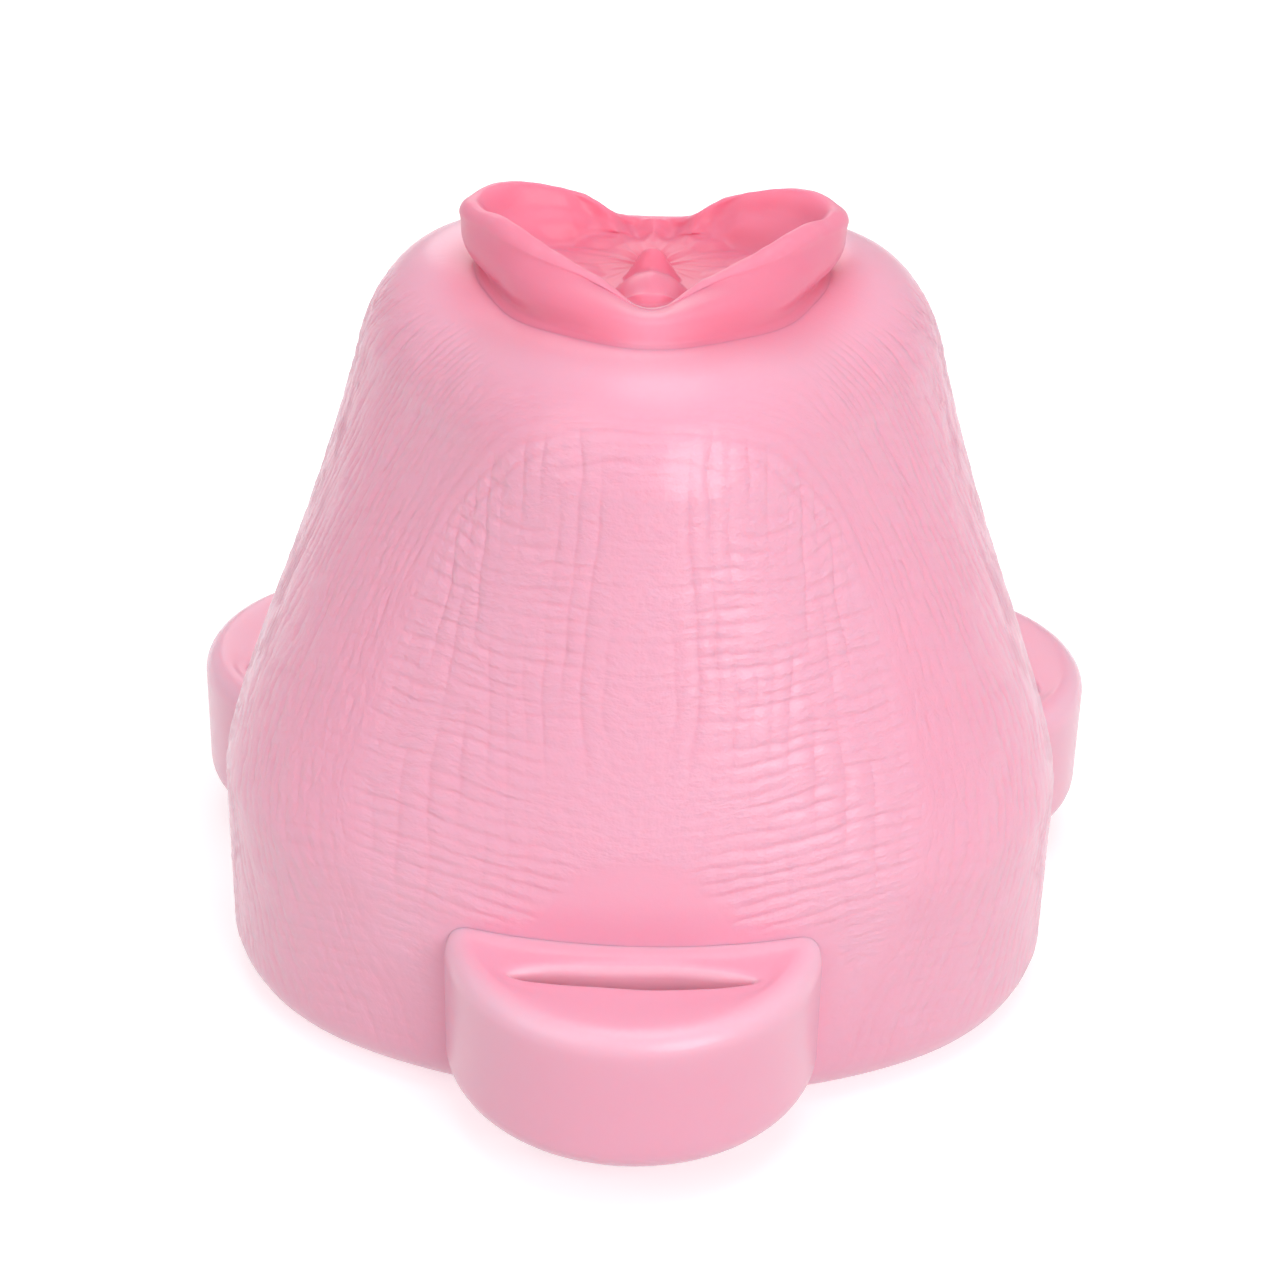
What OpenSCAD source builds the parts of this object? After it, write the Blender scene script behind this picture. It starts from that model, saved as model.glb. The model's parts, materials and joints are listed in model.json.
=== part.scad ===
// Soft silicone bell cup: a hollow three-sided bell with an open base, three strap lugs
// around its skirt, and a folded rim with a lined channel at its crown.
// Millimetres. The origin is the centre of the open base, on the surface the cup stands on.
// +Z is up, -Y is the front, where the first lug sits.

/* [Bell] */
// Radius of the skirt at its three rounded corners
bell_r = 52; // [43:0.5:63]
// How far each of the three sides is flattened in from the corner radius
flat_depth = 5.2; // [3.6:0.1:8]
// Radius of the arc that each flattened side follows in plan
side_arc_r = 71; // [60:1:120]
// Height of the bell, up to the seat of the folded rim
bell_h = 85; // [70:0.5:105]
// Height of the straight skirt, below where the bell draws in
skirt_h = 25.5; // [24:0.5:32]
// Radius of the bell at its shoulder
shoulder_r = 33.5; // [30:0.1:40]
// Drop from the crown's seat to the shoulder
shoulder_drop = 11.5; // [8:0.1:16]
// Radius of the flat seat on the crown
seat_r = 18; // [16:0.5:24]
// Rounding of the skirt's lower edge
base_round = 5.9; // [2:0.1:8]

/* [Hollow] */
// Thickness of the skirt's wall at the middle of a flattened side
skirt_wall = 6.8; // [5:0.1:9]
// Thickness of the bell's wall at its shoulder
shoulder_wall = 8; // [5:0.5:11]
// Thickness of the crown's roof
roof_t = 7; // [5:0.5:10]
// Radius of the hole through the crown's roof
crown_hole_r = 12; // [9:0.5:14]

/* [Channel sleeve] */
// Radius of the channel
channel_r = 5; // [4:0.5:6]
// Wall of the sleeve's tube
sleeve_wall = 3; // [2:0.5:4]
// How far the sleeve's tube hangs below its flange
sleeve_drop = 18; // [10:1:30]
// How far the flange reaches past the crown's hole
flange_lip = 6; // [4:0.5:9]
// Thickness of the flange
flange_t = 3; // [2:0.5:5]
// Clearance round the sleeve's neck in the crown's hole
neck_clearance = 0.2; // [0.1:0.1:0.4]

/* [Folded rim] */
// Height of the two side lobes above the crown
lobe_h = 7.5; // [5:0.1:12]
// Height of the rim at its front notch
front_h = 2.2; // [1.4:0.1:6]
// Height of the rim at its back saddle
back_h = 1.8; // [1.2:0.1:4]
// Reach of the lobes' tips from the axis
lobe_reach = 22.4; // [20:0.1:26]
// Reach of the rim's foot from the axis at the front
front_reach = 19.8; // [17:0.1:23]
// Reach of the rim's foot from the axis at the back
back_reach = 12.6; // [11:0.1:16]
// Thickness of the rim's folds
fold_t = 2.4; // [1.6:0.1:3.2]
// Thickness of the floor inside the rim
floor_t = 0.8; // [0.6:0.1:1.2]
// Height of the small ridge behind the front notch
ridge_h = 5; // [3:0.1:7]

/* [Strap lugs] */
// Width of the strap that the slots take
strap_w = 25; // [20:1:30]
// Side play of the strap in its slot
strap_play = 1.2; // [0.5:0.1:3]
// Opening of the slot across the strap's thickness
slot_t = 4.2; // [3:0.1:6]
// Wall between the bell and the slot
slot_wall = 2; // [1.5:0.1:3]
// Lug material beside each end of the slot
lug_cheek = 8.2; // [5:0.1:12]
// How far a lug's tip stands out from the flattened side
lug_reach = 16.3; // [13:0.1:20]
// Height of a lug
lug_h = 18.6; // [12:0.1:19]
// Height of a lug's underside above the base
lug_lift = 4.6; // [0.5:0.1:5]
// Rounding of a lug's upper and lower edges
lug_round = 2.2; // [0.5:0.1:3]

/* [Hidden] */
$fn = 96;

skin = "lightpink";
rim_pink = "palevioletred";

flat_r = bell_r - flat_depth;
side_arc_offset = side_arc_r - flat_r;
mouth_r = flat_r - skirt_wall;
shoulder_z = bell_h - shoulder_drop;
roof_z = bell_h - roof_t;
inner_shoulder_r = shoulder_r - shoulder_wall;
inner_shoulder_z = shoulder_z - shoulder_wall / 2;

neck_r = crown_hole_r - neck_clearance;
flange_r = crown_hole_r + flange_lip;
flange_z = roof_z - flange_t;
sleeve_z = flange_z - sleeve_drop;
sleeve_r = channel_r + sleeve_wall;

slot_w = strap_w + strap_play;
lug_r = slot_w / 2 + lug_cheek;
lug_centre = flat_r + lug_reach - lug_r;
slot_near = flat_r + slot_wall;
lug_edge = min(lug_round, lug_h / 2 - 1);

// Direction of each lug in plan, anticlockwise from +X
lug_dirs = [270, 150, 30];
past = 1;

// Points of a cubic Bezier curve from p[0] to p[3]
function curve(p, steps) =
    [for (i = [0:steps]) let (t = i / steps, u = 1 - t)
        u^3 * p[0] + 3 * u^2 * t * p[1] + 3 * u * t^2 * p[2] + t^3 * p[3]];

// Points of an arc about c from angle a0 to angle a1
function arc(c, r, a0, a1, steps) =
    [for (i = [0:steps]) let (a = a0 + (a1 - a0) * i / steps) c + r * [cos(a), sin(a)]];

// Outer side of the bell in radius and height, from its lower edge to the edge of the seat
function bell_side() = concat(
    arc([bell_r - base_round, base_round], base_round, -90, 0, 6),
    curve([[bell_r, skirt_h],
           [bell_r, skirt_h + (shoulder_z - skirt_h) * 0.17],
           [shoulder_r + (bell_r - shoulder_r) * 0.27, skirt_h + (shoulder_z - skirt_h) * 0.62],
           [shoulder_r, shoulder_z]], 14),
    curve([[shoulder_r, shoulder_z],
           [shoulder_r * 0.95, shoulder_z + shoulder_drop * 0.55],
           [seat_r + (shoulder_r - seat_r) * 0.55, bell_h],
           [seat_r, bell_h]], 8));

// Inner side of the bell above its round mouth
function hollow_side() = concat(
    [[mouth_r, -past]],
    curve([[mouth_r, skirt_h],
           [mouth_r, skirt_h + (inner_shoulder_z - skirt_h) * 0.25],
           [inner_shoulder_r + (mouth_r - inner_shoulder_r) * 0.3,
            skirt_h + (inner_shoulder_z - skirt_h) * 0.65],
           [inner_shoulder_r, inner_shoulder_z]], 10),
    [[flange_r + 1, roof_z]]);

module flattened_sides() {
    intersection_for (a = lug_dirs)
        rotate(a) translate([-side_arc_offset, 0, -past])
            cylinder(r = side_arc_r, h = bell_h + 2 * past, $fn = 180);
}

module bell_cup() {
    color(skin) difference() {
        intersection() {
            rotate_extrude($fn = 120) polygon(concat([[0, 0]], bell_side(), [[0, bell_h]]));
            flattened_sides();
        }
        rotate_extrude($fn = 120) polygon(concat([[0, -past]], hollow_side(), [[0, roof_z]]));
        cylinder(r = crown_hole_r, h = bell_h + past);
    }
}

module channel_sleeve() {
    color(rim_pink) rotate_extrude() polygon([
        [channel_r, sleeve_z], [sleeve_r, sleeve_z], [sleeve_r, flange_z],
        [flange_r, flange_z], [flange_r, roof_z], [neck_r, roof_z],
        [neck_r, bell_h], [channel_r, bell_h]]);
}

// The rim's crest and foot against the angle from the front, the same on both sides
crest_heights = [[0, front_h], [12, front_h + (lobe_h - front_h) * 0.17],
    [35, front_h + (lobe_h - front_h) * 0.5], [60, lobe_h * 0.9], [85, lobe_h],
    [112, lobe_h * 0.93], [127, lobe_h * 0.83], [141, lobe_h * 0.6],
    [155, back_h + (lobe_h - back_h) * 0.12], [180, back_h]];
crest_reaches = [[0, front_reach - 1.8], [23, front_reach - 3.6], [45, front_reach - 3.2],
    [60, front_reach - 2.2], [75, lobe_reach - 3.5], [98, lobe_reach], [110, lobe_reach - 1.9],
    [127, back_reach + 3], [141, back_reach + 0.9], [155, back_reach - 0.4],
    [180, back_reach - 0.6]];
foot_reaches = [[0, front_reach + 2.7], [28, front_reach + 0.6], [45, front_reach - 0.8],
    [65, front_reach - 1.5], [85, lobe_reach - 3.7], [100, lobe_reach - 2.9],
    [120, lobe_reach - 4.9], [140, back_reach + 1.9], [180, back_reach + 0.6]];

rim_steps = 72;

// One cross-section of the rim at angle a from the front, as reach and height pairs
function rim_section(a) = let (
        h = lookup(a, crest_heights),
        c = lookup(a, crest_reaches),
        f = lookup(a, foot_reaches),
        t = min(fold_t, h),
        floor_r = max(channel_r + 1.2, c - t - 0.6 * h))
    [[channel_r, 0], [f, 0], [(f + c) / 2, h * 0.5], [c, h - t * 0.3], [c - t * 0.35, h],
     [c - t * 0.8, h - t * 0.3], [c - t - 0.15 * h, max(floor_t, h * 0.45)],
     [floor_r, floor_t], [channel_r, floor_t]];

rim_rings = [for (i = [0:rim_steps - 1])
    let (turn = 360 * i / rim_steps, a = turn <= 180 ? turn : 360 - turn)
        [for (p = rim_section(a)) [p[0] * sin(turn), -p[0] * cos(turn), p[1]]]];

module folded_rim() {
    sides = len(rim_rings[0]);
    color(rim_pink) translate([0, 0, bell_h]) {
        polyhedron(
            points = [for (ring = rim_rings) each ring],
            faces = [for (i = [0:rim_steps - 1], j = [0:sides - 1]) let (
                    a = i * sides + j, b = i * sides + (j + 1) % sides,
                    next = ((i + 1) % rim_steps) * sides,
                    c = next + (j + 1) % sides, d = next + j)
                each [[a, b, c], [a, c, d]]]);
        translate([0, -(channel_r + ridge_h), floor_t / 2])
            cylinder(r1 = ridge_h * 0.8, r2 = 1, h = ridge_h, $fn = 32);
    }
}

module strap_lug(dir) {
    top = lug_lift + lug_h;
    low = lug_lift + lug_edge;
    color(skin) rotate(dir) difference() {
        translate([lug_centre, 0, 0]) rotate_extrude() polygon(concat(
            [[0, lug_lift]],
            arc([lug_r - lug_edge, low], lug_edge, -90, 0, 5),
            arc([lug_r - lug_edge, top - lug_edge], lug_edge, 0, 90, 5),
            [[0, top]]));
        translate([-side_arc_offset, 0, 0])
            cylinder(r = side_arc_r, h = top + past, $fn = 180);
        translate([slot_near, -slot_w / 2, 0]) cube([slot_t, slot_w, top + past]);
    }
}

module strap_lug_front() { strap_lug(lug_dirs[0]); }
module strap_lug_left() { strap_lug(lug_dirs[1]); }
module strap_lug_right() { strap_lug(lug_dirs[2]); }

bell_cup();
folded_rim();
channel_sleeve();
strap_lug_front();
strap_lug_left();
strap_lug_right();
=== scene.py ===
"""Looks of the soft silicone bell cup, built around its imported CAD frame.

Everything is in metres in the CAD's frame: +Z up, -Y towards the front lug. Sizes below are
in millimetres, turned into metres by MM when a mesh is made. Azimuth is measured in plan from
the front (-Y) towards +X, in radians.
"""

import json
import math

import bpy
import numpy as np
from mathutils import Matrix, Vector


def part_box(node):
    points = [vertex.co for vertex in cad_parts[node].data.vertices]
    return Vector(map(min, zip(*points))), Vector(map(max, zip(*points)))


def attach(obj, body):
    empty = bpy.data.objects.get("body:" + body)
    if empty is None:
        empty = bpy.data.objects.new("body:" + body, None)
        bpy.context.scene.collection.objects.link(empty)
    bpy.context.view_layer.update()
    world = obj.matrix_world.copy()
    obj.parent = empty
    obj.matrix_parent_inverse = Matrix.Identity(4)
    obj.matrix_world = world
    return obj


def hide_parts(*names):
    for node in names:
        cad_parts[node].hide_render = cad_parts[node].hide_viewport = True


MM = 0.001
SHOWN = "root"

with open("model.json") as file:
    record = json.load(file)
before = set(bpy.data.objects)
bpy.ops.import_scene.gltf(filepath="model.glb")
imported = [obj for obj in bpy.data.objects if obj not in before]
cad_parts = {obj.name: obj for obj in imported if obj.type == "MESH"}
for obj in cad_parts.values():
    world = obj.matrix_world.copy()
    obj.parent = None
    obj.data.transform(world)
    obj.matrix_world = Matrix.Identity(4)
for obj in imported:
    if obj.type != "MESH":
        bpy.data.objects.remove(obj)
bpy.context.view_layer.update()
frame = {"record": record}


def corners_mm(node):
    """Lowest and highest corner of a CAD node in millimetres."""
    return [np.array(corner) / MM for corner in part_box(node)]


def mount(name):
    return next(m for m in frame["record"]["mounts"] if m["name"] == name)


bell_low, bell_high = corners_mm("bell_cup")
lug_low, lug_high = corners_mm("strap_lug_front")
sleeve_low, sleeve_high = corners_mm("channel_sleeve")

# Bell, from the CAD's own corners and mounts
CORNER_R = bell_high[1]
FLAT_R = -bell_low[1]
BELL_H = bell_high[2]
MOUTH_R = mount("cup_mouth")["dims"]["r_mm"]
SKIRT_H = mount("cup_mouth")["dims"]["length_mm"]
CHANNEL_R = mount("channel")["dims"]["r_mm"]

# Bell, its soft shape: its plan is a circle flattened at each lug by an arc of SIDE_ARC_R
SLEEVE_SEAT = 7.0
HOLE_R = CHANNEL_R + SLEEVE_SEAT
ROOF_T = 7.0
SIDE_ARC_R = 71.0
CORNER_EASE = 0.6
CORNER_BLEND = 1.0
BASE_ROUND = 5.9
SHOULDER_R = 33.5
SHOULDER_DROP = 11.5
SHOULDER_WALL = 8.0
SEAT_R = 17.8
SHOULDER_LOBES = 0.09
SEAT_LOBES = 0.33
EDGE_EASE = 0.8

AROUND = 500
FRONT_DENSITY = 0.32
SIDE_STEPS = 104
CROWN_STEPS = 30
LUG_AZIMUTHS = (0.0, 2 * math.pi / 3, -2 * math.pi / 3)


# ---------------------------------------------------------------- noise and curves

def lattice(ix, iy, seed):
    """A fixed pseudo-random number from 0 to 1 for each lattice point."""
    h = (ix * 374761393 + iy * 668265263 + seed * 974634777) & 0xFFFFFFFF
    h = ((h ^ (h >> 13)) * 1274126177) & 0xFFFFFFFF
    return ((h ^ (h >> 16)) & 0xFFFFFF) / float(0x1000000)


def noise(x, y, seed):
    """Smooth gradient noise, about -0.7 to 0.7."""
    x0, y0 = np.floor(x).astype(np.int64), np.floor(y).astype(np.int64)
    fx, fy = x - x0, y - y0
    total = 0.0
    for dx in (0, 1):
        for dy in (0, 1):
            turn = 2 * math.pi * lattice(x0 + dx, y0 + dy, seed)
            slope = np.cos(turn) * (fx - dx) + np.sin(turn) * (fy - dy)
            wx = fx if dx else 1 - fx
            wy = fy if dy else 1 - fy
            total = total + slope * fade(wx) * fade(wy)
    return total


def fade(t):
    return t * t * t * (t * (t * 6 - 15) + 10)


def ramp(x, low, high):
    """0 below low, 1 above high, smooth between; low may be the larger."""
    t = np.clip((x - low) / (high - low), 0, 1)
    return t * t * (3 - 2 * t)


def band(x, start, rise, fall, end):
    """1 from rise to fall, 0 outside start and end, smooth between."""
    return ramp(x, start, rise) * ramp(x, end, fall)


def at_least(low, share):
    """A share from 0 to 1, raised so that it starts at low."""
    return low + (1 - low) * share


def bell_curve(x, middle, width):
    return np.exp(-(((x - middle) / width) ** 2))


def lines(across, along, gap, run, seed):
    """Wandering parallel lines about gap apart. Gives a phase that is whole on each line, and
    how strongly each line shows, since every line fades in and out over about run."""
    phase = across / gap + 0.85 * noise(along / (1.6 * run), across / (4.5 * gap), seed)
    phase = phase + 0.22 * noise(along / (0.35 * run), across / (1.4 * gap), seed + 1)
    own = np.round(phase) * 7.31
    share = at_least(0.15, ramp(noise(along / run + 0.37 * own, own, seed + 2), -0.35, 0.18))
    return phase, share


def line_shape(phase, gap, width):
    """1 on a line, falling to 0 halfway to the next, so that soft ridges lie between lines."""
    off = np.abs(phase - np.round(phase)) * gap
    wave = 0.5 + 0.5 * np.cos(2 * math.pi * phase)
    return 0.55 * np.exp(-((off / width) ** 2)) + 0.45 * wave


def bezier(p0, p1, p2, p3, steps):
    t = np.linspace(0, 1, steps + 1)[1:, None]
    u = 1 - t
    return u**3 * p0 + 3 * u * u * t * p1 + 3 * u * t * t * p2 + t**3 * p3


def soft_min(a, b, blend):
    return -blend * np.logaddexp(-a / blend, -b / blend)


def eased(angle, table):
    """Looks a value up against an angle in degrees, with a smooth curve through the table."""
    xs, ys = np.array(table, float).T
    slopes = np.gradient(ys, xs)
    slopes[0] = slopes[-1] = 0
    i = np.clip(np.searchsorted(xs, angle) - 1, 0, len(xs) - 2)
    h = xs[i + 1] - xs[i]
    t = (angle - xs[i]) / h
    return ((1 + 2 * t) * (1 - t) ** 2 * ys[i] + t * (1 - t) ** 2 * h * slopes[i]
            + t * t * (3 - 2 * t) * ys[i + 1] + t * t * (t - 1) * h * slopes[i + 1])


# ---------------------------------------------------------------- meshes

def ring_mesh(name, points, attributes=None, uv=None):
    """A closed mesh from a grid of points that wraps both ways. Each row is one ring."""
    rows, cols = points.shape[:2]
    index = np.arange(rows * cols).reshape(rows, cols)
    right = np.roll(index, -1, 1)
    down = np.roll(index, -1, 0)
    both = np.roll(down, -1, 1)
    faces = np.stack([index, right, both, down], -1).reshape(-1, 4)
    mesh = bpy.data.meshes.new(name)
    mesh.vertices.add(rows * cols)
    mesh.vertices.foreach_set("co", (points.reshape(-1, 3) * MM).ravel())
    mesh.loops.add(faces.size)
    mesh.loops.foreach_set("vertex_index", faces.ravel())
    mesh.polygons.add(len(faces))
    mesh.polygons.foreach_set("loop_start", np.arange(0, faces.size, 4))
    mesh.update(calc_edges=True)
    mesh.validate()
    mesh.shade_smooth()
    for key, values in (attributes or {}).items():
        layer = mesh.attributes.new(key, "FLOAT", "POINT")
        layer.data.foreach_set("value", np.ascontiguousarray(values, float).ravel())
    if uv is not None:
        layer = mesh.uv_layers.new(name="skin")
        layer.data.foreach_set("uv", uv.reshape(-1, 2)[faces.ravel()].ravel())
    piece = bpy.data.objects.new(name, mesh)
    bpy.context.collection.objects.link(piece)
    return piece


def grid_normals(points):
    """Unit normals of a grid that wraps in its second direction."""
    along = np.gradient(points, axis=0)
    wrapped = np.concatenate([points[:, -1:], points, points[:, :1]], 1)
    around = (wrapped[:, 2:] - wrapped[:, :-2]) / 2
    n = np.cross(around, along)
    return n / np.maximum(np.linalg.norm(n, axis=-1, keepdims=True), 1e-9)


# ---------------------------------------------------------------- bell

# More columns at the front, where the skin's creases show closest
even_turn = np.linspace(0, 2 * math.pi, AROUND, endpoint=False)
azimuth = even_turn - FRONT_DENSITY * np.sin(even_turn)
from_front = np.minimum(azimuth, 2 * math.pi - azimuth)


def side_reach(az):
    """Distance from the axis to the three flattened sides."""
    offset = SIDE_ARC_R - FLAT_R
    reach = np.full_like(az, 1e3)
    for lug in LUG_AZIMUTHS:
        c = np.cos(az - lug)
        inside = offset**2 * (c * c - 1) + SIDE_ARC_R**2
        reach = np.minimum(reach, -offset * c + np.sqrt(np.maximum(inside, 0)))
    return reach


def bell_rows(az):
    """Rings of the bell's outer side as radius and height, from its lower edge to its seat."""
    ones = np.ones_like(az)
    base = soft_min(CORNER_R * ones + CORNER_EASE, side_reach(az), CORNER_BLEND)
    lobes = np.cos(3 * az)
    shoulder = SHOULDER_R * (1 + SHOULDER_LOBES * lobes)
    seat = SEAT_R * (1 + SEAT_LOBES * lobes)
    top = BELL_H - SHOULDER_DROP
    bend = np.linspace(0, math.pi / 2, 9)[:, None]
    radius = [base - BASE_ROUND + BASE_ROUND * np.sin(bend)]
    height = [(BASE_ROUND - BASE_ROUND * np.cos(bend)) * ones]
    skirt = np.linspace(BASE_ROUND, SKIRT_H, 37)[1:, None]
    radius.append(base * np.ones_like(skirt))
    height.append(skirt * ones)
    rise = top - SKIRT_H
    steps = SIDE_STEPS
    radius.append(bezier(base, base, shoulder + (base - shoulder) * 0.35, shoulder, steps))
    height.append(bezier(SKIRT_H, SKIRT_H + rise * 0.19, SKIRT_H + rise * 0.63, top, steps) * ones)
    steps = CROWN_STEPS
    radius.append(bezier(shoulder, shoulder * 0.95, seat + (shoulder - seat) * 0.55, seat, steps))
    height.append(bezier(top, top + SHOULDER_DROP * 0.55, BELL_H, BELL_H, steps) * ones)
    return np.concatenate(radius), np.concatenate(height)


def crown_height(x, y):
    """Height of the crown's surface at plan points."""
    az = np.arctan2(x, -y)
    radius, height = bell_rows(az.ravel())
    reach = np.hypot(x, y).ravel()
    out = [np.interp(-reach[i], -radius[:, i], height[:, i]) if reach[i] > radius[-1, i]
           else BELL_H for i in range(len(reach))]
    return np.array(out).reshape(x.shape)


# The skin's creases. They follow u, the distance round the bell from the front, and v, the
# distance up its side, both in millimetres. A dome-shaped panel at the front has level and
# upright creases, and finer ones run round it in arches.
ARC_SCALE = 45.0
DOME_R = 33.0
DOME_V = 54.0
DOME_SQUARE = 2.5
MESH_LINE = 0.58
RELIEF = 0.12
CREASED_HEIGHTS = (2, 8, 79, 83)
# How far level creases tilt at each distance up the side
LEVEL_TILT = ([30, 50, 70], [0.14, 0.06, -0.02])
# Where creases fade: a place in u and in v or height, and half its width and height
SMOOTH_SPOT = (13, 79.5, 8.0, 4.6)
CALM_MIDDLE = (0, 46, 1, 1)
FRONT_PATCH = (0, 21, 12.0, 13.0)
# Each kind of crease, how far apart its lines are, and how deep. The arches run along the
# panel's edge, the flank lines fill the skin beside it, and the cross lines cross those.
CREASE_KINDS = [("level", 1.70, 0.165), ("upright", 2.7, 0.140), ("arch", 1.8, 0.150),
                ("flank", 1.50, 0.180), ("cross", 2.1, 0.120)]


def from_spot(x, y, spot):
    """Distance from a spot's middle, as a share of its half-width and half-height."""
    at_x, at_y, half_x, half_y = spot
    return np.hypot((x - at_x) / half_x, (y - at_y) / half_y)


def skin_creases(u, v, height):
    """Where the skin is creased. Gives the phase and the share (0 to 1) of each kind of crease,
    where the skin shows any at all, and where the front panel is."""
    gap = {kind: size for kind, size, depth in CREASE_KINDS}
    warp = 1.1 * noise(u / 12, v / 10, 11)
    rise = np.maximum(v - DOME_V, 0)
    across = u + 0.35 * np.maximum(DOME_V - 14 - v, 0)
    dome = (across**DOME_SQUARE + rise**DOME_SQUARE) ** (1 / DOME_SQUARE) + 0.7 * warp
    panel = ramp(dome, DOME_R + 1.5, DOME_R - 2.5)
    beside = ramp(u, 4.0, 8.5)
    low_fade = ramp(v, 20, 34)
    level_tilt = np.interp(v, *LEVEL_TILT)
    level_phase, level = lines(v - level_tilt * u + 0.8 * warp, u, gap["level"], 9.0, 21)
    level = level * panel * at_least(0.35, beside) * at_least(0.40, low_fade)
    level = level * at_least(0.25, ramp(from_spot(u, v, SMOOTH_SPOT), 0.8, 1.15))
    level = level * at_least(0.25, ramp(from_spot(u, v, CALM_MIDDLE), 8, 16))

    upright_phase, upright = lines(u + 0.05 * (60 - v) + 0.5 * warp, v, gap["upright"], 15.0, 23)
    near_middle = bell_curve(u, 8, 4.5) * ramp(v, 44, 54)
    near_edge = bell_curve(u, 23, 7.0) * ramp(v, 26, 36)
    upright = upright * panel * np.clip(near_middle + near_edge + 0.18, 0, 1) * ramp(u, 2, 4.5)

    arch_phase, arch = lines(dome, np.arctan2(u, rise + 1) * 30, gap["arch"], 16.0, 27)
    on_arch = band(dome, 26.5, 29.5, 33, 39)
    arch = arch * on_arch * at_least(0.35, ramp(v, 60, 76)) * ramp(v, 30, 42)

    flank_phase, flank = lines(dome, v + 0.3 * u, gap["flank"], 6.0, 31)
    flank = flank * ramp(dome, DOME_R - 1, DOME_R + 3) * at_least(0.60, ramp(u, 30, 52))
    cross_phase, cross = lines(v + 0.25 * u + warp, u, gap["cross"], 6.0, 35)
    cross = cross * ramp(dome, DOME_R, DOME_R + 4) * 0.55

    shown = band(height, *CREASED_HEIGHTS)
    shown = shown * at_least(0.05, ramp(from_spot(u, height, FRONT_PATCH), 0.90, 1.10))
    for lug in LUG_AZIMUTHS:
        near = np.abs(u / ARC_SCALE - abs(lug))
        shown = shown * (1 - 0.9 * ramp(near, 0.52, 0.44) * ramp(height, 26.5, 23.5))
    return {"level": (level_phase, level * shown), "upright": (upright_phase, upright * shown),
            "arch": (arch_phase, arch * shown), "flank": (flank_phase, flank * shown),
            "cross": (cross_phase, cross * shown)}, shown, panel


def make_bell():
    radius, height = bell_rows(azimuth)
    outer = np.stack([radius * np.sin(azimuth), -radius * np.cos(azimuth), height], -1)
    step = np.linalg.norm(np.diff(outer, axis=0), axis=-1).mean(1)
    travel = np.concatenate([[0], np.cumsum(step)])[:, None] * np.ones_like(height)
    u = from_front[None, :] * ARC_SCALE * np.ones_like(height)
    creases, shown, panel = skin_creases(u, travel, height)
    relief = 0.5 * noise(u / 3.1, travel / 2.3, 41) + 0.4 * noise(u / 7, travel / 5, 42)
    relief = RELIEF * shown * relief
    for key, gap, depth in CREASE_KINDS:
        phase, share = creases[key]
        relief = relief - depth * share * line_shape(phase, gap, MESH_LINE)
    outer = outer + grid_normals(outer) * relief[..., None]

    # The crown under the rim, the hole, the roof, the wall's inner side and the lower edge
    seat_r = radius[-1]
    crown = [seat_r + (HOLE_R + EDGE_EASE - seat_r) * t for t in (0.33, 0.67, 1.0)]
    crown_z = [BELL_H] * len(crown)
    inner_top = BELL_H - SHOULDER_DROP - SHOULDER_WALL / 2
    inner_r = SHOULDER_R - SHOULDER_WALL
    roof = BELL_H - ROOF_T
    wall_r = bezier(MOUTH_R, MOUTH_R, inner_r + (MOUTH_R - inner_r) * 0.3, inner_r, 8)[::-1, 0]
    wall_z = bezier(SKIRT_H, SKIRT_H + (inner_top - SKIRT_H) * 0.25,
                    SKIRT_H + (inner_top - SKIRT_H) * 0.65, inner_top, 8)[::-1, 0]
    inside = [(HOLE_R, BELL_H - EDGE_EASE), (HOLE_R, roof + EDGE_EASE),
              (HOLE_R + EDGE_EASE, roof), (inner_r - 5.5, roof), (inner_r - 2.0, roof - 2.2)]
    inside += list(zip(wall_r, wall_z))
    inside += [(MOUTH_R, SKIRT_H), (MOUTH_R, 1.2), (MOUTH_R + 0.35, 0.35), (MOUTH_R + 1.2, 0)]
    rings = [np.broadcast_to(r, azimuth.shape) for r in crown + [r for r, z in inside]]
    levels = crown_z + [z for r, z in inside]
    inner = np.stack([np.stack([r * np.sin(azimuth), -r * np.cos(azimuth),
                                np.full_like(azimuth, z)], -1) for r, z in zip(rings, levels)])
    points = np.concatenate([outer, inner])

    def padded(values):
        return np.concatenate([values, np.zeros(inner.shape[:2])])

    attributes = {"textured": padded(shown), "panel": padded(panel),
                  "blush_and_shade": crown_blush_and_shade(points)}
    for key, (phase, share) in creases.items():
        attributes[key + "_phase"] = padded(phase)
        attributes[key + "_share"] = padded(share)
    uv = np.stack([padded(u), padded(travel)], -1)
    uv[len(outer):, :, 0] = from_front * ARC_SCALE
    uv[len(outer):, :, 1] = travel.max() + np.arange(len(inner))[:, None]
    return ring_mesh("bell_skin", points, attributes, uv * 0.01)


# ---------------------------------------------------------------- folded rim

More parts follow.
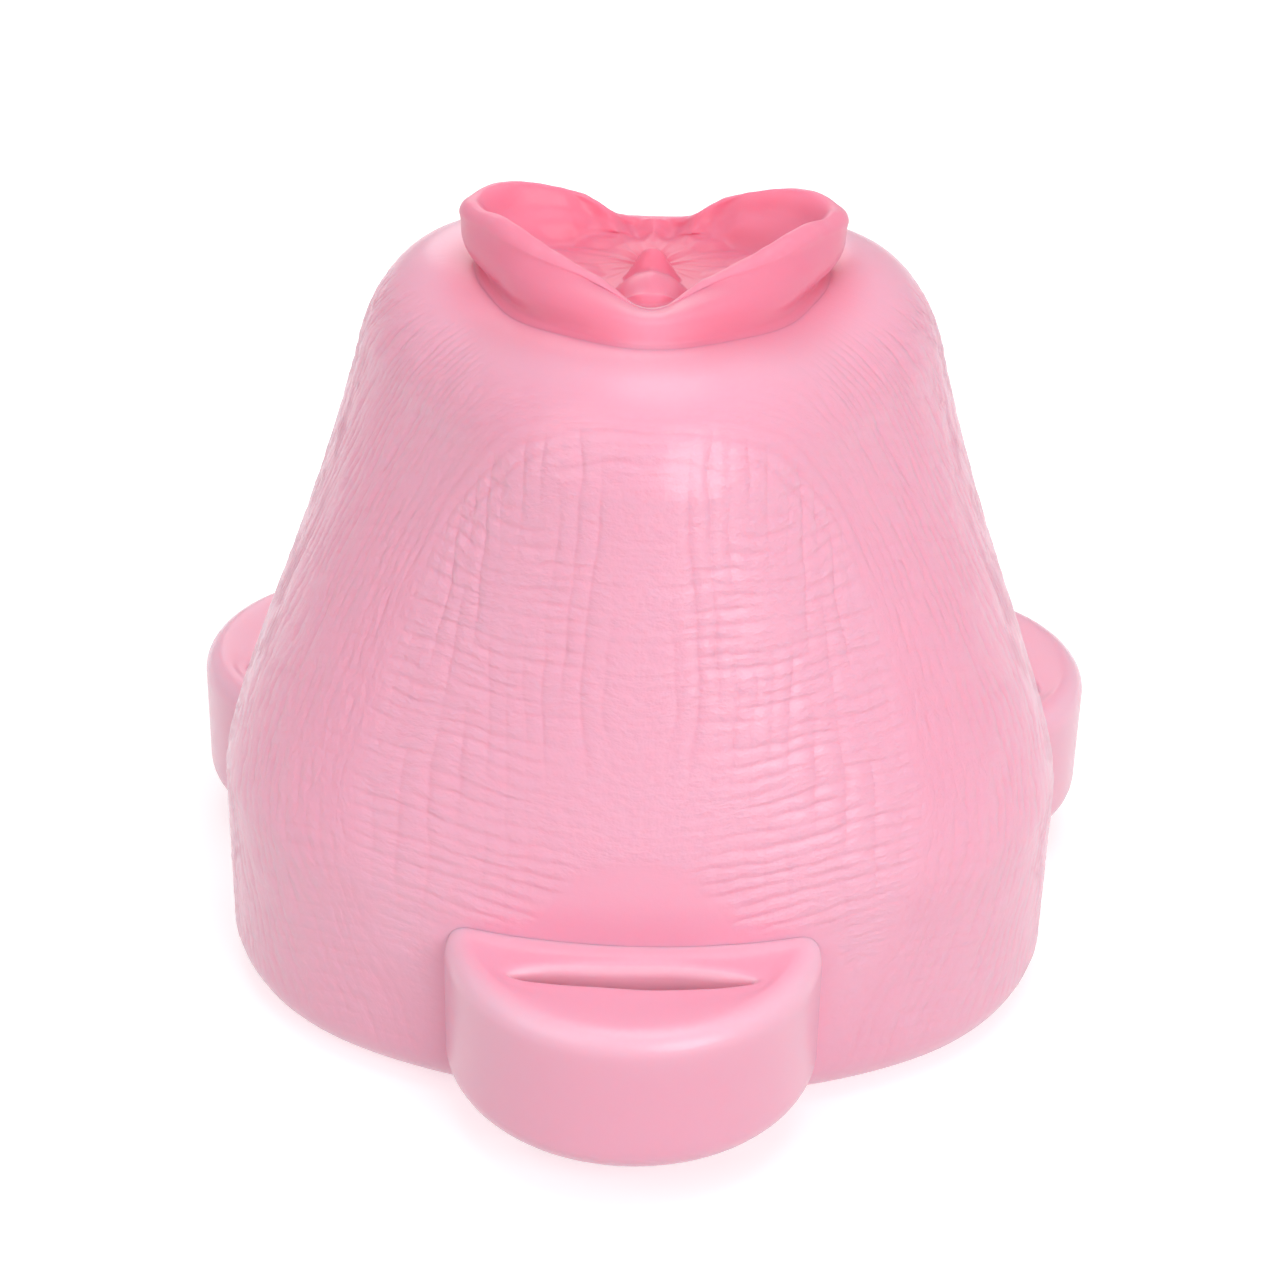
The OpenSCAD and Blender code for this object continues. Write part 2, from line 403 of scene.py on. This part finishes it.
# Angle from the front in degrees against millimetres, the same on both sides
CREST_REACH = [(0, 18.2), (14, 17.0), (28, 16.3), (45, 16.8), (62, 17.9), (76, 19.5), (88, 21.5),
               (98, 22.4), (108, 21.2), (118, 18.6), (128, 15.7), (142, 13.5), (158, 12.1),
               (180, 11.9)]
CREST_HEIGHT = [(0, 2.1), (20, 3.6), (40, 5.3), (60, 6.7), (78, 7.4), (90, 7.1), (100, 6.7),
                (112, 7.2), (127, 6.4), (142, 4.6), (158, 2.5), (180, 1.9)]
FOOT_REACH = [(0, 22.4), (28, 20.4), (45, 19.1), (65, 18.2), (85, 18.8), (105, 18.9),
              (125, 16.4), (145, 14.2), (180, 12.9)]
FLOOR_REACH = [(0, 13.4), (40, 11.6), (70, 12.5), (95, 13.5), (125, 10.0), (180, 8.2)]
RIM_AROUND = 480
RIM_STEPS = 9
LIP_R = 1.45
LIP_SWEEP = math.radians(118)
RIM_SINK = 1.7
# Zones of the rim's profile, as shares of the way from its foot (0) to the slit (1)
INNER_WALL = (0.42, 0.52, 0.68, 0.76)
FLOOR_ZONE = (0.56, 0.66, 0.90, 0.95)
CREST_AT = 0.38
LIP_AT = 0.36
LEDGE_AT = 0.56
SLIT_X = 1.7
SLIT_Y = 3.0

# Soft bumps on the rim's floor: x, y, half-width, half-length, height, and how steeply each
# falls away from its top. Each one off the middle has a twin on the other side.
FLOOR_BUMPS = [
    (0.0, -10.2, 4.3, 5.8, 2.7, 1.25),
    (0.0, -5.3, 3.3, 3.2, 3.9, 1.5),
    (8.6, -4.4, 3.4, 4.0, 0.9, 1.6),
    (12.0, 0.4, 3.6, 3.2, 0.8, 1.6),
    (6.4, 6.0, 3.0, 2.4, 0.8, 1.6)]
# How sharply one bump meets the next
BUMP_JOIN = 3


def foot_reach(az):
    return eased(np.degrees(np.abs(az)), FOOT_REACH)


def crown_blush_and_shade(points):
    """How much of the rim's deeper pink is painted on the crown beside its foot: partly the rim's
    colour running into the crown, partly painted shade in the crease at the foot.
    """
    az = np.arctan2(points[..., 0], -points[..., 1])
    gap = np.hypot(points[..., 0], points[..., 1]) - foot_reach(az)
    near = ramp(gap, 7.5, 0.8) * (1 - 0.5 * bell_curve(points[..., 0], 0, 5))
    return near * (points[..., 2] > BELL_H - 14)


def rim_profile(az):
    """Control points of the rim's cross-section at each azimuth, as reach and height.

    They run up its outer side from the foot, over the lip, down to the floor and into the slit.
    """
    deg = np.degrees(az)
    crest = eased(deg, CREST_REACH)
    tall = eased(deg, CREST_HEIGHT)
    foot = eased(deg, FOOT_REACH)
    floor_r = eased(deg, FLOOR_REACH)
    lip = np.minimum(LIP_R, tall * 0.48)
    lean = crest - foot
    bulge = 0.80 + 0.14 * np.abs(lean)
    centre_r = crest - lip
    centre_z = tall - lip
    slit = 1 / np.hypot(np.sin(az) / SLIT_X, np.cos(az) / SLIT_Y)
    facing = np.arctan2(-lean, tall)
    start_r = centre_r + lip * np.cos(facing)
    start_z = centre_z + lip * np.sin(facing)
    points = [(foot + 2.6, -0.30), (foot + 1.2, 0.08), (foot + 0.35, 0.50)]
    for t in (0.30, 0.62):
        swell = bulge * math.sin(math.pi * (0.15 + 0.85 * t))
        points.append((foot + (start_r - foot) * t + swell * np.cos(facing),
                       0.35 + (start_z - 0.35) * t + swell * np.sin(facing)))
    for t in (0, 0.25, 0.5, 0.75, 1):
        a = facing + (LIP_SWEEP - facing) * t
        points.append((centre_r + lip * np.cos(a), centre_z + lip * np.sin(a)))
    inner, top = points[-1]
    sunk = np.maximum(top - 0.75, 0)
    for t, level in ((0.20, 0.80), (0.45, 0.50), (0.72, 0.21), (1.0, 0.0)):
        points.append((inner + (floor_r - inner) * t, 0.75 + sunk * level))
    points += [(slit + (floor_r - slit) * 0.72, 0.66), (slit + (floor_r - slit) * 0.45, 0.62),
               (slit + (floor_r - slit) * 0.2, 0.55), (slit + 0.25, 0.30), (slit, -0.35),
               (slit + (CHANNEL_R - slit) * 0.6, -1.3)]
    return [(r + 0 * foot, z + 0 * foot) for r, z in points]


def floor_bumps(x, y):
    """Height of the soft bumps on the rim's floor."""
    out = np.zeros_like(x)
    for bx, by, half_x, half_y, tall, fall in FLOOR_BUMPS:
        for side in (1, -1) if bx else (1,):
            away = np.hypot((x - side * bx) / half_x, (y - by) / half_y)
            bump = tall * (1 - np.clip(away, 0, 1) ** 2) ** fall
            out = np.log(np.exp(BUMP_JOIN * out) + np.exp(BUMP_JOIN * bump) - 1) / BUMP_JOIN
    return out


def spline_rows(controls, steps):
    """A smooth curve through rows of control values, as more rows."""
    controls = np.array(controls)
    n = len(controls)
    padded = np.concatenate([2 * controls[:1] - controls[1:2], controls,
                             2 * controls[-1:] - controls[-2:-1]])
    rows = []
    for i in range(n - 1):
        a, b, c, d = padded[i:i + 4]
        for t in np.linspace(0, 1, steps, endpoint=False):
            rows.append(0.5 * (2 * b + (c - a) * t + (2 * a - 5 * b + 4 * c - d) * t * t
                               + (3 * b - a - 3 * c + d) * t**3))
    rows.append(controls[-1])
    return np.array(rows)


def make_rim():
    az = np.linspace(0, 2 * math.pi, RIM_AROUND, endpoint=False)
    half = np.minimum(az, 2 * math.pi - az)
    deg = np.degrees(half)
    controls = rim_profile(half)
    reach = spline_rows([c[0] for c in controls], RIM_STEPS)
    rise = spline_rows([c[1] for c in controls], RIM_STEPS)
    rows = len(reach)
    share = np.linspace(0, 1, rows)[:, None] * np.ones_like(reach)
    x = reach * np.sin(az)
    y = -reach * np.cos(az)
    at_foot = 4 * RIM_STEPS
    ground = crown_height(x[:at_foot], y[:at_foot]) - BELL_H
    drop = np.zeros_like(x)
    drop[:at_foot] = ground
    drop[at_foot:] = ground[-1] * ramp(share[at_foot:], 0.50, 0.15)
    # Soft folds: ripples over the inner wall and floor, pleats at the back, a wavy crest
    inner_wall = band(share, *INNER_WALL)
    floor = band(share, *FLOOR_ZONE)
    pleats = np.cos(half * 12.0) * ramp(deg, 110, 150) * 0.42
    ripples = noise(half * 2.6, share * 7, 51) + 0.4 * noise(half * 6, share * 11, 52)
    crest = bell_curve(share, CREST_AT, 0.12)
    wave = 0.45 * noise(half * 4.0, share * 1.5, 53) + 0.12 * noise(half * 11, share * 3, 54)
    ledge = bell_curve(share, LEDGE_AT, 0.035) * band(deg, 70, 95, 125, 150)
    z = BELL_H + rise + drop + floor * floor_bumps(x, y)
    points = np.stack([x, y, z], -1)
    push = (inner_wall * (pleats + 0.50 * ripples) + 0.25 * floor * ripples + crest * wave
            - 0.35 * ledge)
    points = points + grid_normals(points) * push[..., None]

    # Closed underneath, sunk a little way into the crown
    sink = points[0].copy()
    sink[:, :2] *= 0.97
    sink[:, 2] = points[0, :, 2] - 0.8
    low = points[-1].copy()
    low[:, 2] = BELL_H - RIM_SINK
    points = np.concatenate([points, low[None], sink[None]])

    def padded(values):
        return np.concatenate([values, np.zeros((2, RIM_AROUND))])

    outside = ramp(share, 0.42, 0.25)
    return ring_mesh("rim_folds", points, {
        "join": padded(bell_curve(x, 0, 3.6) * outside * (y < 0)),
        # Painted highlight along the crest of the lip
        "lip": padded(bell_curve(share, LIP_AT, 0.08)),
        # Painted shade towards the opening and at the outer foot, where the foot is partly its own
        # deeper pink
        "deep": padded(bell_curve(reach, 0, 8.5) + 0.5 * outside * ramp(share, 0.22, 0.06))})


# ---------------------------------------------------------------- strap lugs

LUG_TIP = -lug_low[1]
LUG_R = lug_high[0]
LUG_TOP = lug_high[2]
LUG_FOOT = lug_low[2]
TOP_ROUND = 2.7
FOOT_ROUND = 3.6
# The slot is drawn in a little, as soft silicone is with no strap in it
SLOT_W = 26.2
SLOT_T = 3.0
SLOT_NEAR = FLAT_R + 2.6
SLOT_ROUND = 1.4
SLOT_DIP = 0.35
FILLET = 0.8
LUG_SINK = 4.0
LUG_CORNER = 3.9
LUG_AROUND = 300
OUTLINE_STEPS = 2000
MATCH_WIDEN = 2.4


def resample(points, count):
    """Points evenly spaced along a closed outline."""
    closed = np.concatenate([points, points[:1]])
    length = np.concatenate([[0], np.cumsum(np.linalg.norm(np.diff(closed, axis=0), axis=1))])
    at = np.linspace(0, length[-1], count, endpoint=False)
    return np.stack([np.interp(at, length, closed[:, i]) for i in (0, 1)], -1)


def inset(outline, amount):
    """Moves a closed anticlockwise outline inwards along its normals."""
    along = np.roll(outline, -1, 0) - np.roll(outline, 1, 0)
    normal = np.stack([-along[:, 1], along[:, 0]], -1)
    normal /= np.linalg.norm(normal, axis=1, keepdims=True)
    return outline + normal * amount


def arc(centre, radius, start, end, steps):
    angle = np.linspace(start, end, steps)
    return np.stack([centre[0] + radius * np.cos(angle), centre[1] + radius * np.sin(angle)], -1)


def lug_outline():
    """Plan of a lug, anticlockwise: x along the bell's side, y outwards from its axis.

    It has a wide round tip, a back that follows the bell's side inside its wall, and a round
    corner on each side that touches both.
    """
    tip_y = LUG_TIP - LUG_R
    back_y = FLAT_R - SIDE_ARC_R - LUG_SINK
    apart = tip_y - back_y
    to_tip = LUG_R - LUG_CORNER
    to_back = SIDE_ARC_R + LUG_CORNER
    rise = (to_back**2 - to_tip**2 + apart**2) / (2 * apart)
    side = math.sqrt(to_back**2 - rise**2)
    corner_y = back_y + rise
    back_turn = math.atan2(side, rise)
    tip_turn = math.asin((corner_y - tip_y) / to_tip)
    quarter = math.pi / 2
    outline = [arc((0, back_y), SIDE_ARC_R, quarter + back_turn, quarter - back_turn, 41),
               arc((side, corner_y), LUG_CORNER, -quarter - back_turn, tip_turn, 31),
               arc((0, tip_y), LUG_R, tip_turn, math.pi - tip_turn, 121),
               arc((-side, corner_y), LUG_CORNER, math.pi - tip_turn, 3 * quarter + back_turn, 31)]
    return resample(np.concatenate(outline), LUG_AROUND)


def slot_outline():
    """Plan of the strap slot: a long lens, its lips slightly wavy."""
    turn = np.linspace(0, 2 * math.pi, OUTLINE_STEPS, endpoint=False)
    x = SLOT_W / 2 * np.cos(turn)
    y = SLOT_T / 2 * np.sin(turn) * (1 + 0.10 * np.sin(5 * turn + 1))
    return np.stack([x, y + SLOT_NEAR + SLOT_T / 2], -1)


def matched(outline, centre, inner):
    """A point of the inner outline for each outer one, round the same centre. The inner one is
    long and narrow, so its directions are widened before the two are matched."""
    outer_angle = np.arctan2(outline[:, 1] - centre[1], outline[:, 0] - centre[0])
    widened = (inner[:, 1] - centre[1]) * MATCH_WIDEN
    angle = np.arctan2(widened, inner[:, 0] - centre[0])
    order = np.argsort(angle)
    wrapped = np.concatenate([angle[order] - 2 * math.pi, angle[order],
                              angle[order] + 2 * math.pi])
    values = np.tile(inner[order], (3, 1))
    return np.stack([np.interp(outer_angle, wrapped, values[:, i]) for i in (0, 1)], -1)


def from_face(points):
    """How far plan points stand out from the bell's flattened side."""
    return points[..., 1] - np.sqrt(SIDE_ARC_R**2 - points[..., 0] ** 2) + SIDE_ARC_R - FLAT_R


def make_lug(name, lug_azimuth):
    """A rounded block with a slot through it, its back sunk in the bell's wall."""
    outer = lug_outline()
    centre = np.array([0, SLOT_NEAR + SLOT_T / 2])
    hole = matched(outer, centre, slot_outline())
    outwards = matched(outer, centre, inset(slot_outline(), -SLOT_ROUND)) - hole
    rows = []

    def ring(plan, height):
        rows.append(np.concatenate([plan, np.full((len(plan), 1), height)], 1))

    for t in np.linspace(0, math.pi / 2, 9):
        shrink = FOOT_ROUND * (1 - math.sin(t))
        ring(inset(outer, shrink), LUG_FOOT + FOOT_ROUND * (1 - math.cos(t)))
    for h in np.linspace(LUG_FOOT + FOOT_ROUND, LUG_TOP - TOP_ROUND, 12)[1:-1]:
        ring(outer, h)
    upper_start = len(rows)
    for t in np.linspace(0, math.pi / 2, 11):
        shrink = TOP_ROUND * (1 - math.cos(t))
        ring(inset(outer, shrink), LUG_TOP - TOP_ROUND * (1 - math.sin(t)))
    edge = rows[-1][:, :2]
    lip = hole + outwards
    for t in np.linspace(0, 1, 12)[1:]:
        ring(edge + (lip - edge) * t, LUG_TOP - SLOT_DIP * math.sin(math.pi * t / 2) ** 2)
    for t in np.linspace(0, math.pi / 2, 8)[1:]:
        ring(hole + outwards * (1 - math.sin(t)),
             LUG_TOP - SLOT_DIP - SLOT_ROUND * (1 - math.cos(t)))
    slot_start = len(rows)
    for h in np.linspace(LUG_TOP - SLOT_DIP - SLOT_ROUND, LUG_FOOT + SLOT_ROUND, 10)[1:]:
        ring(hole, h)
    for t in np.linspace(0, math.pi / 2, 5)[1:]:
        ring(hole + outwards * (1 - math.cos(t)), LUG_FOOT + SLOT_ROUND * (1 - math.sin(t)))
    slot_end = len(rows)
    foot = rows[0][:, :2]
    lip = rows[-1][:, :2]
    for t in np.linspace(0, 1, 8)[1:-1]:
        ring(lip + (foot - lip) * t, LUG_FOOT)
    points = np.array(rows)
    # The upper face curves up into the bell
    rise = FILLET * np.exp(-((np.maximum(from_face(points), 0) / 1.0) ** 1.5))
    upper = ramp(points[..., 2], LUG_TOP - TOP_ROUND - 1, LUG_TOP - SLOT_DIP - 0.2)
    points[..., 2] += rise * upper
    # Painted light: the slot's walls are painted paler, standing in for light that reaches inside
    # it
    inside = np.zeros(points.shape[:2])
    inside[slot_start - 5:slot_end] = 1
    # Painted highlight along the rounded upper edge, where light catches it
    from_edge = np.arange(len(points))[:, None] - (upper_start + 5)
    edge_highlight = bell_curve(from_edge, 0, 4) * np.ones(points.shape[:2])
    c, s = math.cos(lug_azimuth), math.sin(lug_azimuth)
    x = points[..., 0] * c + points[..., 1] * s
    y = points[..., 0] * s - points[..., 1] * c
    out = np.stack([x, y, points[..., 2]], -1)
    return ring_mesh(name, out, {"inside": inside, "edge": edge_highlight})


# ---------------------------------------------------------------- channel sleeve

SLEEVE_WALL = 3.0
SLEEVE_PLAY = 0.2
SLEEVE_EDGE = 0.7
SLEEVE_AROUND = 160
FLANGE_T = 3.0


def make_sleeve():
    """The liner with its flange under the roof, its outer edges cut back by a small chamfer."""
    low, high = sleeve_low[2], BELL_H - RIM_SINK
    flange_r = sleeve_high[0]
    roof = BELL_H - ROOF_T
    tube = CHANNEL_R + SLEEVE_WALL
    neck = HOLE_R - SLEEVE_PLAY
    flange_z = roof - FLANGE_T
    e = SLEEVE_EDGE
    profile = [(CHANNEL_R, low + e), (CHANNEL_R + e, low), (tube - e, low), (tube, low + e),
               (tube, flange_z - 1.2), (tube + 0.4, flange_z - 0.35), (tube + 1.2, flange_z),
               (flange_r - e, flange_z), (flange_r - 0.2, flange_z + 0.2),
               (flange_r, flange_z + e), (flange_r, roof), (neck, roof), (neck, high),
               (CHANNEL_R, high)]
    turn = np.linspace(0, 2 * math.pi, SLEEVE_AROUND, endpoint=False)
    points = np.array([[(r * math.sin(a), -r * math.cos(a), z) for a in turn]
                       for r, z in profile])
    return ring_mesh("channel_liner", points[::-1])


# ---------------------------------------------------------------- materials

SKIN_PINK = (0.965, 0.395, 0.535)
SKIN_PALE = (0.970, 0.480, 0.620)
SKIN_CREASE_SHADE = (0.930, 0.310, 0.440)
PANEL_SHEEN = (0.970, 0.540, 0.680)
RIM_PINK = (0.880, 0.235, 0.355)
RIM_CLOUD = (0.890, 0.270, 0.395)
RIM_CREST_HIGHLIGHT = (0.905, 0.330, 0.460)
RIM_SHADE = (0.830, 0.130, 0.225)
LUG_PINK = (0.955, 0.420, 0.555)
LUG_CLOUD = (0.910, 0.370, 0.505)
SLOT_PAINTED_LIGHT = (0.960, 0.600, 0.700)
EDGE_HIGHLIGHT = (0.965, 0.620, 0.740)
# Half-width of a fine crease in mm, how deep creases and crinkles are in the bump, and its reach
FINE_LINE = 0.30
FINE_DEPTH = 5
CRINKLE = 2.9
BUMP_REACH = 0.0001


class Nodes:
    """Small helper that adds and links shader nodes."""

    def __init__(self, name):
        self.material = bpy.data.materials.new(name)
        self.material.use_nodes = True
        self.tree = self.material.node_tree
        self.shader = self.tree.nodes["Principled BSDF"]

    def add(self, kind, inputs=None, **settings):
        node = self.tree.nodes.new(kind)
        for key, value in settings.items():
            setattr(node, key, value)
        for key, value in (inputs or {}).items():
            self.feed(node.inputs[key], value)
        return node

    def feed(self, socket, value):
        if isinstance(value, bpy.types.NodeSocket):
            self.tree.links.new(value, socket)
        else:
            socket.default_value = value

    def math(self, operation, a, b=0.0, clamp=False):
        node = self.add("ShaderNodeMath", operation=operation, use_clamp=clamp)
        self.feed(node.inputs[0], a)
        self.feed(node.inputs[1], b)
        return node.outputs[0]

    def mix(self, share, a, b):
        node = self.add("ShaderNodeMix", data_type="RGBA")
        self.feed(node.inputs["Factor"], share)
        for at, colour in ((6, a), (7, b)):
            is_socket = isinstance(colour, bpy.types.NodeSocket)
            self.feed(node.inputs[at], colour if is_socket else (*colour, 1))
        return node.outputs[2]

    def attribute(self, name):
        return self.add("ShaderNodeAttribute", attribute_name=name).outputs["Fac"]

    def noise(self, vector, scale, detail=2.0, roughness=0.5):
        node = self.add("ShaderNodeTexNoise", {"Vector": vector, "Scale": scale,
                                               "Detail": detail, "Roughness": roughness})
        return node.outputs[0]

    def joined(self, x, y):
        return self.add("ShaderNodeCombineXYZ", {"X": x, "Y": y}).outputs[0]


def silicone(nodes, roughness, scatter_mm, coat):
    """Settings that every silicone shares: light scattered inside it, and a thin coat of gloss."""
    shader = nodes.shader
    shader.subsurface_method = "RANDOM_WALK"
    shader.inputs["Subsurface Weight"].default_value = 0.85
    shader.inputs["Subsurface Radius"].default_value = (1.0, 0.42, 0.38)
    shader.inputs["Subsurface Scale"].default_value = scatter_mm * MM
    shader.inputs["IOR"].default_value = 1.41
    shader.inputs["Coat Weight"].default_value = coat
    shader.inputs["Coat Roughness"].default_value = 0.24
    nodes.feed(shader.inputs["Roughness"], roughness)


def skin_material():
    n = Nodes("skin_silicone")
    uv = n.add("ShaderNodeUVMap", uv_map="skin").outputs["UV"]
    textured = n.attribute("textured")
    blush_and_shade = n.attribute("blush_and_shade")

    # The same creases as in the mesh, drawn finer. Each is 1 at a whole phase.
    grooves = 0.0
    for key, gap, depth in CREASE_KINDS:
        phase = n.attribute(key + "_phase")
        off = n.math("ABSOLUTE", n.math("SUBTRACT", phase, n.math("ROUND", phase)))
        scaled = n.math("MULTIPLY", off, gap / FINE_LINE)
        line = n.math("EXPONENT", n.math("MULTIPLY", n.math("MULTIPLY", scaled, scaled), -1.0))
        line = n.math("MULTIPLY", line, n.attribute(key + "_share"))
        grooves = n.math("ADD", grooves, n.math("MULTIPLY", line, depth * FINE_DEPTH))
    # Fine crinkles that run along the creases: level ones in the panel, arching ones beside it
    plan = n.add("ShaderNodeSeparateXYZ", {"Vector": uv})
    along_panel = n.joined(n.math("MULTIPLY", plan.outputs["X"], 45.0),
                           n.math("MULTIPLY", n.attribute("level_phase"), 1.3))
    along_flank = n.joined(n.math("MULTIPLY", n.attribute("flank_phase"), 1.15),
                           n.math("MULTIPLY", plan.outputs["Y"], 40.0))
    crinkle = n.add("ShaderNodeMix", {"Factor": n.attribute("panel")}, data_type="FLOAT")
    n.feed(crinkle.inputs[2], n.noise(along_flank, 1.0, 3.0, 0.62))
    n.feed(crinkle.inputs[3], n.noise(along_panel, 1.0, 3.0, 0.62))
    pores = n.noise(uv, 300.0, 2.0, 0.6)
    grain = n.math("ADD", n.math("MULTIPLY", crinkle.outputs[0], CRINKLE),
                   n.math("MULTIPLY", pores, 0.20))
    grain = n.math("MULTIPLY", grain, n.math("MAXIMUM", textured, 0.12))
    raised = n.math("SUBTRACT", grain, n.math("MULTIPLY", grooves, 0.90))
    bump = n.add("ShaderNodeBump", {"Strength": 1.0, "Distance": BUMP_REACH, "Height": raised})
    n.feed(n.shader.inputs["Normal"], bump.outputs["Normal"])

    position = n.add("ShaderNodeTexCoord").outputs["Object"]
    cloud = n.noise(position, 38.0, 2.0)
    colour = n.mix(n.math("MULTIPLY", cloud, 0.6), SKIN_PINK, SKIN_PALE)
    # Painted highlight: the front panel is painted paler where a broad soft highlight falls on it.
    painted_panel_sheen = n.math("MULTIPLY", n.attribute("panel"), textured)
    colour = n.mix(n.math("MULTIPLY", painted_panel_sheen, 0.24), colour, PANEL_SHEEN)
    # Painted shade: the skin is painted darker along its creases, where shade falls in them.
    colour = n.mix(n.math("MULTIPLY", grooves, 0.22, clamp=True), colour, SKIN_CREASE_SHADE)
    # The rim's deeper pink beside its foot: partly its own colour, partly painted shade in the
    # crease there.
    colour = n.mix(n.math("MULTIPLY", blush_and_shade, 0.90), colour, RIM_PINK)
    n.feed(n.shader.inputs["Base Color"], colour)
    rough = n.math("ADD", 0.33, n.math("MULTIPLY", pores, 0.12))
    silicone(n, rough, 0.9, 0.60)
    return n.material


def rim_material():
    n = Nodes("rim_silicone")
    position = n.add("ShaderNodeTexCoord").outputs["Object"]
    cloud = n.noise(position, 120.0, 2.0)
    fine = n.noise(position, 1400.0, 2.0, 0.6)
    colour = n.mix(n.math("MULTIPLY", cloud, 0.5), RIM_PINK, RIM_CLOUD)
    # Painted highlight: the crest of the lip is painted paler, where light falls on its top.
    colour = n.mix(n.math("MULTIPLY", n.attribute("lip"), 0.45), colour, RIM_CREST_HIGHLIGHT)
    # Painted shade: darker towards the opening in the middle, where shade falls, and at the foot
    # of the outer side, partly shade in the crease there and partly the rim's own deeper pink.
    colour = n.mix(n.math("MULTIPLY", n.attribute("deep"), 0.70), colour, RIM_SHADE)
    colour = n.mix(n.math("MULTIPLY", n.attribute("join"), 0.55), colour, SKIN_PINK)
    n.feed(n.shader.inputs["Base Color"], colour)
    bump = n.add("ShaderNodeBump", {"Strength": 0.12, "Distance": BUMP_REACH, "Height": fine})
    n.feed(n.shader.inputs["Normal"], bump.outputs["Normal"])
    silicone(n, n.math("ADD", 0.40, n.math("MULTIPLY", fine, 0.10)), 1.3, 0.25)
    return n.material


def lug_material():
    n = Nodes("lug_silicone")
    position = n.add("ShaderNodeTexCoord").outputs["Object"]
    cloud = n.noise(position, 60.0, 2.0)
    fine = n.noise(position, 900.0, 3.0, 0.6)
    colour = n.mix(n.math("MULTIPLY", cloud, 0.4), LUG_PINK, LUG_CLOUD)
    # Painted highlight: a paler band along the lug's rounded upper edge, where light catches it.
    colour = n.mix(n.math("MULTIPLY", n.attribute("edge"), 0.55), colour, EDGE_HIGHLIGHT)
    # Painted light: the slot's walls are painted paler, standing in for light that reaches inside
    # it.
    colour = n.mix(n.math("MULTIPLY", n.attribute("inside"), 0.55), colour, SLOT_PAINTED_LIGHT)
    n.feed(n.shader.inputs["Base Color"], colour)
    bump = n.add("ShaderNodeBump", {"Strength": 0.10, "Distance": BUMP_REACH, "Height": fine})
    n.feed(n.shader.inputs["Normal"], bump.outputs["Normal"])
    silicone(n, n.math("ADD", 0.34, n.math("MULTIPLY", fine, 0.10)), 1.0, 0.60)
    return n.material


# ---------------------------------------------------------------- stage and camera

FLOOR_HALF = 3.0
FLOOR_GREY = (0.80, 0.80, 0.80, 1)
WHITE = (1, 1, 1, 1)
LIGHT_AIM = Vector((0, 0, 0.05))


def area_light(name, place, size, power):
    light = bpy.data.lights.new(name, "AREA")
    light.shape = "DISK"
    light.size = size
    light.energy = power
    lamp = bpy.data.objects.new(name, light)
    lamp.location = place
    aim = LIGHT_AIM - Vector(place)
    lamp.rotation_euler = aim.to_track_quat("-Z", "Y").to_euler()
    bpy.context.collection.objects.link(lamp)


def make_floor():
    """A plain white floor that bounces no light onto the object."""
    half = FLOOR_HALF
    mesh = bpy.data.meshes.new("floor")
    mesh.from_pydata([(-half, -half, 0), (half, -half, 0), (half, half, 0), (-half, half, 0)],
                     [], [(0, 1, 2, 3)])
    floor = bpy.data.objects.new("floor", mesh)
    bpy.context.collection.objects.link(floor)
    n = Nodes("floor_white")
    n.shader.inputs["Base Color"].default_value = FLOOR_GREY
    n.shader.inputs["Emission Color"].default_value = WHITE
    n.shader.inputs["Emission Strength"].default_value = 0.45
    n.shader.inputs["Roughness"].default_value = 0.9
    mesh.materials.append(n.material)
    floor.visible_diffuse = False


def make_light():
    world = bpy.data.worlds.new("studio")
    world.use_nodes = True
    background = world.node_tree.nodes["Background"]
    background.inputs["Color"].default_value = WHITE
    background.inputs["Strength"].default_value = 0.54
    bpy.context.scene.world = world
    area_light("key", (0.32, -0.55, 0.30), 0.44, 1.95)
    area_light("fill", (-0.45, -0.40, 0.45), 0.6, 0.9)
    area_light("back", (-0.10, 0.65, 0.40), 0.5, 0.8)
    area_light("top", (0.05, 0.0, 0.75), 0.5, 1.2)


VIEW_ELEVATION = math.radians(28.5)
VIEW_TURN = math.radians(0.42)
VIEW_ROLL = math.radians(1.36)
VIEW_DISTANCE = 0.340
VIEW_AIM = Vector((0, 0, 0.040))
LENS_MM = 78.5
SENSOR_MM = 36.0
SHIFT = (-0.0034, -0.0204)


def make_camera():
    data = bpy.data.cameras.new("camera")
    data.lens = LENS_MM
    data.sensor_width = SENSOR_MM
    data.shift_x, data.shift_y = SHIFT
    camera = bpy.data.objects.new("camera", data)
    back = Vector((0, -math.cos(VIEW_ELEVATION), math.sin(VIEW_ELEVATION)))
    turn = Matrix.Rotation(VIEW_TURN, 3, "Z")
    back = turn @ back
    right = turn @ Vector((1, 0, 0))
    up = back.cross(right)
    facing = Matrix((right, up, back)).transposed() @ Matrix.Rotation(VIEW_ROLL, 3, "Z")
    camera.matrix_world = Matrix.Translation(VIEW_AIM + back * VIEW_DISTANCE) @ facing.to_4x4()
    bpy.context.collection.objects.link(camera)
    bpy.context.scene.camera = camera


# ---------------------------------------------------------------- assembly

make_camera()
make_light()
make_floor()

skin, rim_pink, lug_pink = skin_material(), rim_material(), lug_material()


def place(piece, material, slot, *nodes):
    piece.data.materials.append(material)
    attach(piece, SHOWN)
    if nodes:
        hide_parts(*nodes)


place(make_bell(), skin, "skin_silicone", "bell_cup")
place(make_rim(), rim_pink, "rim_silicone", "folded_rim")
place(make_sleeve(), rim_pink, "rim_silicone", "channel_sleeve")
for side, lug in zip(("front", "right", "left"), LUG_AZIMUTHS):
    place(make_lug("lug_" + side, lug), lug_pink, "lug_silicone", "strap_lug_" + side)

bpy.context.scene.view_settings.view_transform = "Standard"
